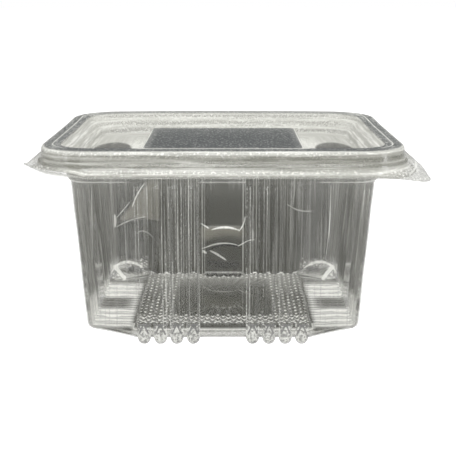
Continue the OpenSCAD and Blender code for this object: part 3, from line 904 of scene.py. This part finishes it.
def sheet_finish(name, dark, pale, dark_alpha, pale_alpha, streak=(60.0, 4.0), streak_gain=0.2, line_gain=0.0,
                 edge_gain=0.6, dot_gain=0.5, glitter_gain=0.0, rough=0.1, ior=1.57, specular=0.5, rim=0.3,
                 flute_gain=0.6, wall=False, inside=False, domes=False, fade=0.0,
                 clear_from_above=0.0, streak_light_gain=0.0):
    """Clear formed sheet: a dark tone of painted see-through shade and a pale haze with painted highlights, mixed by
    the marks on the mesh, with painted streaks, painted highlights on bends, and dots.

    The inside of the tub shows its dark tone of painted shade where the eye looks at it from within, as the far walls
    do."""
    material = bpy.data.materials.new(name)
    material.use_nodes = True
    tree = material.node_tree
    shader = tree.nodes["Principled BSDF"]

    def mark(label):
        node = tree.nodes.new("ShaderNodeAttribute")
        node.attribute_name = label
        return node.outputs["Fac"]

    def effect(group):
        node = tree.nodes.new("ShaderNodeGroup")
        node.node_tree = group
        return node

    def times(a, b):
        return product(tree, a, b)

    def plus(a, b, clamp=False):
        return summed(tree, a, b, clamp)

    def rest_of(value):
        return less(tree, 1.0, value)

    def most(a, b):
        return larger(tree, a, b)

    def mixed(a, b, factor):
        node = tree.nodes.new("ShaderNodeMix")
        node.data_type = "RGBA"
        tree.links.new(factor, node.inputs["Factor"])
        for label, colour in (("A", a), ("B", b)):
            if isinstance(colour, tuple):
                node.inputs[label].default_value = (*colour, 1)
            else:
                tree.links.new(colour, node.inputs[label])
        return node.outputs["Result"]

    streaks, dots = effect(STREAKS), effect(STIPPLE)
    streaks.inputs["Round"].default_value, streaks.inputs["Across"].default_value = streak
    fine = streaks.outputs["Fine"]
    specks = times(dots.outputs["Dot"], times(mark("stipple"), dot_gain))
    # The haze gathers painted highlights: streaks, bend lines, sparks, dent and flute lines, foot lights, stud glints
    # and floor waves
    painted_streaks = times(less(tree, streaks.outputs["Streak"], 0.5), streak_gain)
    painted_streaks = plus(painted_streaks, times(ramp_node(tree, fine, 0.72, 0.92), line_gain))
    lively = rest_of(mark("calm"))
    smooth_part = times(lively, rest_of(times(mark("stipple"), 0.85)))
    haze_and_highlights = plus(mark("haze_and_highlights"), times(painted_streaks, smooth_part))
    haze_and_highlights = plus(haze_and_highlights, times(mark("edge"), times(ramp_node(tree, fine, 0.1, 0.9), edge_gain)))
    haze_and_highlights = plus(haze_and_highlights, plus(specks, times(dots.outputs["Glitter"], glitter_gain)))
    haze_and_highlights = plus(haze_and_highlights, times(effect(SPARKS).outputs["Spark"], mark("spark")))
    if fade:
        haze_and_highlights = plus(haze_and_highlights, effect(CREASE).outputs["Line"])
    facing = tree.nodes.new("ShaderNodeLayerWeight")
    facing.inputs["Blend"].default_value = FACING_BLEND
    grazing = ramp_node(tree, facing.outputs["Facing"], GRAZING_FROM, GRAZING_TO)
    # Painted shade: dark lines and patches, mixed towards near-black
    painted_shade = mark("painted_shade")
    if domes:
        shade = times(times(effect(DOMES).outputs["Shade"], 0.92), plus(times(grazing, 0.95), 0.05))
        flecks = ramp_node(tree, dots.outputs["Glitter"], 0.8, 1.0)
        painted_shade = times(shade, rest_of(times(flecks, 0.45)))
    if wall:
        dents = effect(BACK_DENTS if inside else FRONT_DENTS)
        haze_and_highlights = plus(haze_and_highlights, times(dents.outputs["Bright"], plus(times(fine, 0.6), 0.75)))
        flutes = effect(FLUTES)
        broken = times(ramp_node(tree, streaks.outputs["Streak"], 0.15, 0.75), flute_gain)
        broken = plus(broken, times(effect(SPARKS).outputs["Spark"], 0.45))
        haze_and_highlights = plus(haze_and_highlights, times(times(flutes.outputs["Line"], mark("flute")), broken))
        painted_shade = most(painted_shade, dents.outputs["Dark"])
        painted_shade = most(painted_shade, times(times(flutes.outputs["Shade"], mark("flute")), 0.4))
        # Painted streaks of shade and of light along the walls
        painted_streak_shade = times(ramp_node(tree, fine, 0.3, 0.08), times(mark("grain"), streak_light_gain))
        painted_shade = most(painted_shade, painted_streak_shade)
        haze_and_highlights = plus(haze_and_highlights, times(ramp_node(tree, fine, 0.75, 0.95), times(mark("grain"), 1.2 * streak_light_gain)))
    if inside:
        haze_and_highlights = plus(haze_and_highlights, times(effect(GLINTS).outputs["Glint"], times(mark("stud"), 1.3)))
        haze_and_highlights = plus(haze_and_highlights, times(plus(times(effect(WAVES).outputs["Wave"], 0.7), 0.5), mark("strip")))
    elif wall:
        feet = effect(FEET)
        haze_and_highlights = plus(haze_and_highlights, feet.outputs["Pale"])
        painted_shade = most(painted_shade, times(feet.outputs["Fold"], 0.9))
    haze_and_highlights = plus(haze_and_highlights, 0.0, clamp=True)
    # The olive over the dents is a painted sheen
    tone = mixed(mixed(dark, OLIVE, mark("dent_sheen")), pale, haze_and_highlights)
    tree.links.new(mixed(tone, NIGHT, painted_shade), shader.inputs["Base Color"])
    # Painted see-through shade: inner faces turn dark where the eye sees them from within the tub
    if inside:
        side = tree.nodes.new("ShaderNodeNewGeometry")
        within = rest_of(side.outputs["Backfacing"])
        least = plus(times(times(mark("see_through_shade"), within), 1.0 - dark_alpha), dark_alpha)
        solid = plus(least, times(haze_and_highlights, less(tree, most(least, pale_alpha), least)))
    else:
        solid = plus(times(haze_and_highlights, pale_alpha - dark_alpha), dark_alpha)
        solid = times(solid, rest_of(times(mark("stipple"), fade)))
    if clear_from_above:
        solid = times(solid, plus(times(grazing, clear_from_above), 1.0 - clear_from_above))
    solid = most(solid, times(painted_shade, PAINTED_SHADE_ALPHA))
    slanted = times(facing.outputs["Fresnel"], rim)
    solid = plus(solid, times(rest_of(solid), slanted), clamp=True)
    path = tree.nodes.new("ShaderNodeLightPath")
    seen = most(path.outputs["Is Camera Ray"], path.outputs["Is Glossy Ray"])
    direct = plus(times(seen, 1 - UNSEEN_SHARE), UNSEEN_SHARE)
    tree.links.new(times(solid, direct), shader.inputs["Alpha"])
    tree.links.new(plus(times(times(fine, lively), 0.05 if inside else 0.12), rough), shader.inputs["Roughness"])
    bump = tree.nodes.new("ShaderNodeBump")
    bump.inputs["Strength"].default_value = 0.5
    bump.inputs["Distance"].default_value = 0.0004
    tree.links.new(plus(times(times(streaks.outputs["Streak"], lively), 0.15), specks), bump.inputs["Height"])
    tree.links.new(bump.outputs[0], shader.inputs["Normal"])
    shader.inputs["IOR"].default_value = ior
    shader.inputs["Specular IOR Level"].default_value = specular
    return material


# The dark tones are painted see-through shade, the dark of what lies behind the clear sheet; the pale mist is the
# colour of its haze and painted highlights
PAINTED_DARK = (0.050, 0.050, 0.039)
SLATE = (0.045, 0.052, 0.054)
STEEL = (0.20, 0.20, 0.165)
MIST = (0.92, 0.92, 0.86)
FINISHES = [
    sheet_finish("tub_outside", STEEL, MIST, 0.03, 0.6, (45.0, 0.8), 0.05, 0.16, 0.25, ior=2.4, rough=0.06, rim=0.4,
                 flute_gain=0.7, wall=True, streak_light_gain=0.3),
    sheet_finish("tub_inside", PAINTED_DARK, MIST, 0.02, 0.92, (45.0, 0.8), 0.05, 0.06, 0.3, rough=0.03, ior=1.7, rim=0.1,
                 flute_gain=0.55, wall=True, inside=True, streak_light_gain=0.25),
    sheet_finish("rim_sheet", STEEL, MIST, 0.55, 0.75, (2.0, 70.0), 0.4, 0.16, 0.4, 1.2, 0.08, rough=0.08, ior=1.7,
                 fade=0.35),
    sheet_finish("recess_sheet", STEEL, MIST, 0.35, 0.65, (1.4, 32.0), 0.12, 0.05, 0.9, ior=1.4, specular=0.1,
                 domes=True, clear_from_above=0.4),
    sheet_finish("flats_sheet", SLATE, MIST, 0.86, 0.9, (30.0, 30.0), 0.08, 0.0, 0.3, glitter_gain=0.24, rough=0.35,
                 specular=0.1, rim=0.1, clear_from_above=0.75),
    sheet_finish("ring_sheet", STEEL, MIST, 0.10, 0.45, (2.0, 110.0), 0.4, 0.3, 0.4, 0.6, rough=0.08, ior=1.9),
]
OUTSIDE, INSIDE, RIM, RECESS, FLATS, RING = range(6)

# The tray's piece

RIM_FROM = LEDGE + 0.45
HALF_PLAIN = PLAIN_STRIP / 2
SHARP_BEND = 1.6
tray_outer = np.where(tray_place > RIM_FROM, RING, OUTSIDE)
tray_inner = np.where(tray_place > RIM_FROM, RING, INSIDE)
x, y, z = (tray_grid[:, :, k] for k in range(3))
wide, deep = np.abs(x), np.abs(y)
none = np.zeros_like(x)
at_back = y > 40
on_tub = place < RIM_FROM
on_floor = place < BASE_EDGE + 0.05
on_side = (wide > 52) & (place > BASE_EDGE)
on_flutes = np.where((place > BASE_EDGE + 0.3) & (place < WALL_TOP + 0.3), 1.0, 0)
corner = smooth(35, 40, wide) * smooth(34, 38, deep)
plain_wall = np.where(wide < HALF_PLAIN, 1.0, smooth(36, 38, wide))
plain_back = np.where(at_back & (wide < HALF_PLAIN), 1.0, 0)
stud_zone = np.where(on_panel & ((wide > HALF_FIELD[0]) | (deep > HALF_FIELD[1])), 1.0, 0)

# Painted highlights along the bends of the sheet, softer on the walls and at the foot of the back wall
tray_bend = np.clip(grid_bend(tray_grid, grid_normals(tray_grid)) / SHARP_BEND, 0, 1)
bend_highlights = np.where(on_wall, 0.25 * tray_bend, tray_bend)
bend_highlights = np.where(at_back & (place > 7.6) & (place < 8.15), 0.1 * tray_bend, bend_highlights)

# Lights on the floor's ridged strips and at the foot of the side walls, with a dark band across them
side_strip = (place > 3.1) & (place < 7.4) & (wide > 37.5) & (deep < 40)
dark_band = np.exp(-((y + 1.5) / 9) ** 6 - ((wide - 48.5) / 8.8) ** 6)
strip_light = (1 - 0.88 * dark_band) * smooth(37, 39.5, wide) * (1 - smooth(33, 36.5, -y))
strip_light = np.where(side_strip, strip_light * (1 - 0.85 * smooth(26, 31, y)), 0)
side_foot = (1 - smooth(7, 13, z + 0.14 * y)) * (1 - 0.85 * np.exp(-((y + 1.5) / 9) ** 6))
side_foot = np.where(on_side, side_foot * (1 - smooth(34, 39, deep)), 0)

# The floor's end strips, the feet, the painted sparks along them, and painted highlights along the edges of the
# corner facets
end_strip = np.where((place > 3.1) & (place < 5.6) & (deep > 38) & ~side_strip, 1.0, 0)
foot_zone = np.where((place > 4.4) & (place < 8.05) & (deep > 38) & (wide < 37), 1.0, 0)
foot_zone = foot_zone * np.where(y > 0, np.where(place > 7.6, 0, 0.15), 1)
sparks = np.where(at_back & (wide < 36) & (place > 5.5) & (place < 7.6), 2.2 - 2.2 * plain_back, 0)
sparks = sparks + np.where(y < 0, 0.5 * end_strip, 0) + 0.35 * strip_light * smooth(5, 9, y)
sparks = sparks + 0.5 * side_foot + np.where((y > 34) & (wide > 37) & (z > 3) & (z < 11), 0.6 * corner, 0)
facet_highlights = corner * (hump(z, 7.4, 1.1) + hump(place, BASE_EDGE, 0.25))

# Pale haze with painted highlights, and dark lines of painted shade, of the outside
far_out = smooth(50, 58, wide)
corner_light = 0.05 * smooth(44, 54, wide) + 0.04 * smooth(53, 57, wide) * smooth(22, 45, z)
corner_light = corner_light + 0.08 * smooth(48, 64, z) * far_out
corner_light = corner_light + (0.08 * (1 - smooth(8, 22, z)) + 0.07 * hump(z, 25, 9)) * far_out
outer_haze_and_highlights = np.where(on_tub, 0.045 + 0.04 * smooth(44, 62, z) + 0.15 * smooth(57, 66, z) + corner_light, 0.35)
outer_haze_and_highlights = outer_haze_and_highlights + 0.2 * foot_zone + 0.2 * facet_highlights + 0.25 * hump(place, 10.6, 0.35)
outer_haze_and_highlights = outer_haze_and_highlights + 0.7 * corner * hump(place, 7.1, 0.07) + 0.5 * plain_wall * hump(place, LEDGE, 0.08)
outer_painted_shade = 0.6 * foot_zone * np.clip(tray_bend * 1.3, 0, 1)
outer_painted_shade = np.maximum(outer_painted_shade, 0.45 * hump(place, BASE_EDGE, 0.09))
bare_edge = np.maximum(corner, np.where((wide < HALF_PLAIN) & (deep > 40), 1, 0))
outer_painted_shade = np.maximum(outer_painted_shade, 0.75 * bare_edge * hump(place, 6.95, 0.08))

# Pale haze with painted highlights, dark lines of painted shade, and the painted see-through shade of the inside
inner_haze_and_highlights = np.where(on_tub, 0.0, 0.35) + np.where(y > 0, 0.06, 0.35) * end_strip
inner_haze_and_highlights = inner_haze_and_highlights + 0.05 * stud_zone + 0.3 * facet_highlights
inner_haze_and_highlights = inner_haze_and_highlights + np.where(place < 2.95, 0.13 * smooth(-8, 30, y) + 0.07 * smooth(15, 27, y), 0)
inner_haze_and_highlights = inner_haze_and_highlights + 0.95 * plain_back * np.where((place > 7.05) & (place < 7.5), 1, 0)
inner_haze_and_highlights = inner_haze_and_highlights + 0.45 * corner * (hump(place, 5.0, 0.12) + hump(place, 6.1, 0.12))
back_row = np.where(at_back, 0.4 * (1 - plain_back) * smooth(37, 34, wide), 0)
inner_haze_and_highlights = inner_haze_and_highlights + back_row * hump(place, 7.3, 0.3)
inner_haze_and_highlights = inner_haze_and_highlights + 0.04 * swoosh + 0.05 * fold + 0.3 * foot_zone
inner_haze_and_highlights = inner_haze_and_highlights + np.where((place < BASE_EDGE) & (y < -30), 0.9 * hump(place, PANEL_FOOT, 0.12), 0)
inner_haze_and_highlights = inner_haze_and_highlights + np.where(on_side & (z < 66), 0.12, 0) + 0.75 * side_foot * (1 - smooth(26, 31, y))
inner_painted_shade = 0.9 * smooth(31, 32.5, y) * np.where(on_panel, 1 - smooth(8, 10, wide), 0)
wall_see_through_shade = 0.975 - 0.1 * smooth(48, 66, z) - 0.04 * corner
wall_see_through_shade = np.where(on_side, 0.97 - 0.3 * (1 - smooth(4, 12, z)), wall_see_through_shade)
inner_see_through_shade = np.where(on_floor, 0.96, wall_see_through_shade) * (1 - 0.6 * foot_zone) * (1 - 0.4 * strip_light)

# Stippled corners of the flange, calm parts, and where the walls get painted streaks of light and shade
stippled = np.where(place > 15.0, smooth(60, 72, wide) * smooth(20, 40, -y), 0)
calm = np.where(place < 2.95, 1.0, np.where(on_wall & (wide < HALF_PLAIN), 0.9, 0))
# The grain mark sets where the walls get painted streaks of light and shade
grain = 0.55 * smooth(8, 12, wide) - 0.3 * smooth(22, 26, wide) + 0.75 * smooth(48, 54, wide)
grain = np.where(on_wall, grain, 0)
tray_marks = {"edge": bend_highlights, "flute": on_flutes, "stipple": stippled, "calm": calm, "grain": grain}
tray_marks.update({label: none for label in ("see_through_shade", "stud", "dent_sheen", "painted_shade", "spark", "strip")})
# The olive mark over the swoosh and fold dents is a painted sheen
tray = Sheet(
    "tray_sheet", tray_grid, -SHEET,
    tray_outer, dict(tray_marks, haze_and_highlights=np.clip(outer_haze_and_highlights, 0, 1), painted_shade=outer_painted_shade),
    tray_inner, dict(tray_marks, haze_and_highlights=np.clip(inner_haze_and_highlights, 0, 1), see_through_shade=inner_see_through_shade, stud=stud_zone, painted_shade=inner_painted_shade,
                     spark=sparks, strip=strip_light, dent_sheen=np.clip(0.8 * swoosh + 0.7 * fold, 0, 1)),
    FINISHES,
)
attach(tray.object, "tray")
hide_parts("base_tray")

# The lid's piece

lid_finish = np.full(len(lid_place), RECESS)
lid_finish[lid_place < PLATEAU_EDGE + 0.05] = FLATS
lid_finish[(lid_place > RING_IN - 0.05) & (lid_place < RING_OUT - 0.05)] = FLATS
lid_finish[lid_place >= RING_OUT - 0.05] = RIM
x, y, z = (lid_grid[:, :, k] for k in range(3))
wide = np.abs(x)
none = np.zeros_like(x)
on_ring = (lid_row > RING_IN - 0.05) & (lid_row < RING_OUT - 0.05)
on_skirt = lid_row >= RING_OUT
on_flange = lid_row > SKIRT_FOOT - 0.1
ring_end = smooth(58, 62, wide)
lid_bend = np.clip(grid_bend(lid_grid, grid_normals(lid_grid)) / SHARP_BEND, 0, 1)

# Pale haze with painted highlights: a painted reflection along the plateau's edge, a highlight line along the ring's
# ends and its front, painted light bands of the skirt, and a painted highlight in the trough
haze_and_highlights = np.where(lid_row < PLATEAU_EDGE + 0.1, 0.06 * smooth(0, 32, y), 0.54)
haze_and_highlights = haze_and_highlights + 0.9 * hump(lid_row, PLATEAU_EDGE, 0.07)
ring_highlight = hump(lid_row, RING_IN + 0.1 + 0.8 * RING_LINE, 0.02) * ring_end
haze_and_highlights = np.where(on_ring, 0.03 + 0.95 * ring_highlight + 0.25 * smooth(40, 60, y), haze_and_highlights)
haze_and_highlights = haze_and_highlights + 0.95 * hump(lid_row, 8.15, 0.12) * np.where((y < -45) & (wide < 34), 1, 0)
skirt_light_bands = 0.18 + 0.5 * smooth(79.0, 80.5, z) - 0.2 * hump(z, 75.4, 0.8) + 0.35 * hump(z, 73.2, 0.9)
haze_and_highlights = np.where(on_skirt, skirt_light_bands, haze_and_highlights)
in_trough = (lid_row > TROUGH_IN) & (lid_row < TROUGH_OUT + 0.05)
trough_highlight = np.where(in_trough, np.exp(-((wide - 38) / 5) ** 2 - ((y - 2) / 20) ** 2), 0)
haze_and_highlights = haze_and_highlights + 0.3 * trough_highlight

# Stippled corners of the flange and ends of the ring, and sparks along the skirt, the steps and the trough
stippled = np.where(on_flange, smooth(58, 70, wide) * smooth(10, 40, -y), 0)
haze_and_highlights = haze_and_highlights * (1 - 0.6 * stippled)
stippled = np.where(on_ring, 0.7 * ring_end, stippled)
skirt_sparks = 0.5 * hump(z, 79.6, 0.8) + 0.5 * hump(z, 73.0, 0.9)
sparks = np.where((lid_row > RING_OUT) & (y < -30), skirt_sparks, 0)
sparks = sparks + np.where((lid_row > 2.9) & (lid_row < RING_IN), 0.3 * smooth(35, 45, y), 0) + 0.9 * trough_highlight
sparks = np.where(on_ring, 0.4 * ring_end, sparks)
lid_marks = {"haze_and_highlights": np.clip(haze_and_highlights, 0, 1), "stipple": stippled, "edge": lid_bend, "spark": sparks}
lid_marks.update({label: none for label in ("painted_shade", "dent_sheen", "calm")})
lid = Sheet("lid_sheet", lid_grid, SHEET, lid_finish, lid_marks, lid_finish, lid_marks, FINISHES)
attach(lid.object, "lid")
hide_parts("lid")

# The fold of sheet that joins the two at the back


def fold_strip(name):
    """A half tube of sheet along the hinge, as a closed mesh."""
    turns, ways = np.linspace(-math.pi / 2, math.pi / 2, 9), np.linspace(-FOLD_HALF, FOLD_HALF, 41)
    rings, count = len(turns), len(ways)
    outer = rings * count
    points = [
        (w, HALF_FLANGE[1] + size * math.cos(a), HINGE_Z + size * math.sin(a))
        for size in (FOLD_INNER, FOLD_OUTER) for a in turns for w in ways
    ]
    faces = []
    for side in (0, 1):
        for i in range(rings - 1):
            for j in range(count - 1):
                first = (side * rings + i) * count + j
                quad = (first, first + 1, first + count + 1, first + count)
                faces.append(quad if side else quad[::-1])
    for i, order in ((0, 1), (rings - 1, -1)):
        for j in range(count - 1):
            first = i * count + j
            faces.append((first, first + 1, first + outer + 1, first + outer)[::order])
    for j, order in ((0, 1), (count - 1, -1)):
        for i in range(rings - 1):
            first = i * count + j
            faces.append((first, first + count, first + count + outer, first + outer)[::order])
    mesh = bpy.data.meshes.new(name)
    mesh.from_pydata([tuple(float(v) * MM for v in point) for point in points], [], faces)
    mesh.materials.append(FINISHES[RIM])
    mesh.polygons.foreach_set("use_smooth", np.ones(len(faces), bool))
    haze_mark = mesh.attributes.new("haze_and_highlights", "FLOAT", "POINT")
    haze_mark.data.foreach_set("value", np.full(len(points), 0.3, np.float32))
    mesh.uv_layers.new(name="sheet")
    mesh.validate()
    strip = bpy.data.objects.new(name, mesh)
    bpy.context.scene.collection.objects.link(strip)
    return strip


hinge_fold = fold_strip("hinge_fold")
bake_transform(hinge_fold)

# The stage


def stage_material(name, colour, glow):
    """A pale floor that the camera sees as white, with the shadow kept."""
    material = bpy.data.materials.new(name)
    material.use_nodes = True
    tree = material.node_tree
    shader = tree.nodes["Principled BSDF"]
    shader.inputs["Base Color"].default_value = (*colour, 1)
    shader.inputs["Roughness"].default_value = 0.9
    shader.inputs["Specular IOR Level"].default_value = 0.0
    path = tree.nodes.new("ShaderNodeLightPath")
    shader.inputs["Emission Color"].default_value = (1, 1, 1, 1)
    lift = product(tree, path.outputs["Is Camera Ray"], glow)
    tree.links.new(lift, shader.inputs["Emission Strength"])
    return material


floor_mesh = bpy.data.meshes.new("studio_floor")
floor_mesh.from_pydata([(-9, -9, 0), (9, -9, 0), (9, 9, 0), (-9, 9, 0)], [], [(0, 1, 2, 3)])
floor_mesh.materials.append(stage_material("studio_floor", (0.85, 0.85, 0.85), 0.55))
studio_floor = bpy.data.objects.new("studio_floor", floor_mesh)
bpy.context.scene.collection.objects.link(studio_floor)

world = bpy.data.worlds.new("studio")
bpy.context.scene.world = world
world.use_nodes = True
sky = world.node_tree
sky.nodes["Background"].inputs["Color"].default_value = (1, 1, 1, 1)
path = sky.nodes.new("ShaderNodeLightPath")
way = sky.nodes.new("ShaderNodeTexCoord")
parts = sky.nodes.new("ShaderNodeSeparateXYZ")
sky.links.new(way.outputs["Generated"], parts.inputs[0])
dome = summed(sky, product(sky, ramp_node(sky, parts.outputs[2], -0.1, 0.8), 0.5), 0.3)
level = larger(sky, dome, path.outputs["Is Camera Ray"])
sky.links.new(level, sky.nodes["Background"].inputs["Strength"])


LAMP_AIM = (0, 0, 0.05)


def soft_box(name, place, size, power):
    """A soft rectangular lamp that is turned to the container's middle."""
    light = bpy.data.lights.new(name, "AREA")
    light.shape, light.size, light.size_y, light.energy = "RECTANGLE", size[0], size[1], power
    lamp = bpy.data.objects.new(name, light)
    bpy.context.scene.collection.objects.link(lamp)
    lamp.location = place
    lamp.rotation_euler = (Vector(LAMP_AIM) - Vector(place)).to_track_quat("-Z", "Y").to_euler()
    return lamp


soft_box("top_box", (0.1, -0.1, 0.8), (0.7, 0.4), 2.6)
soft_box("left_strip", (-0.75, -0.55, 0.35), (0.12, 0.8), 1.1)
soft_box("right_strip", (0.8, -0.35, 0.35), (0.12, 0.8), 1.1)
soft_box("front_box", (-0.2, -1.1, 0.55), (0.5, 0.3), 1.6)

# The camera that was fitted to the photograph: pixels, millimetres and degrees
PHOTO_SIZE = 456
FOCAL_PIXELS = 999.4
SENSOR = 36.0
CAMERA_PLACE = (2.03, -428.64, 137.91)
LOOKS_DOWN = 13.21
camera_data = bpy.data.cameras.new("photo_camera")
camera_data.sensor_width = SENSOR
camera_data.lens = FOCAL_PIXELS / PHOTO_SIZE * SENSOR
camera = bpy.data.objects.new("photo_camera", camera_data)
bpy.context.scene.collection.objects.link(camera)
camera.location = [way * MM for way in CAMERA_PLACE]
camera.rotation_euler = (math.radians(90 - LOOKS_DOWN), 0, 0)
bpy.context.scene.camera = camera

bpy.context.scene.view_settings.view_transform = "Standard"
bounces = bpy.context.scene.cycles
bounces.transparent_max_bounces = 64
bounces.max_bounces, bounces.diffuse_bounces, bounces.glossy_bounces = 3, 1, 2
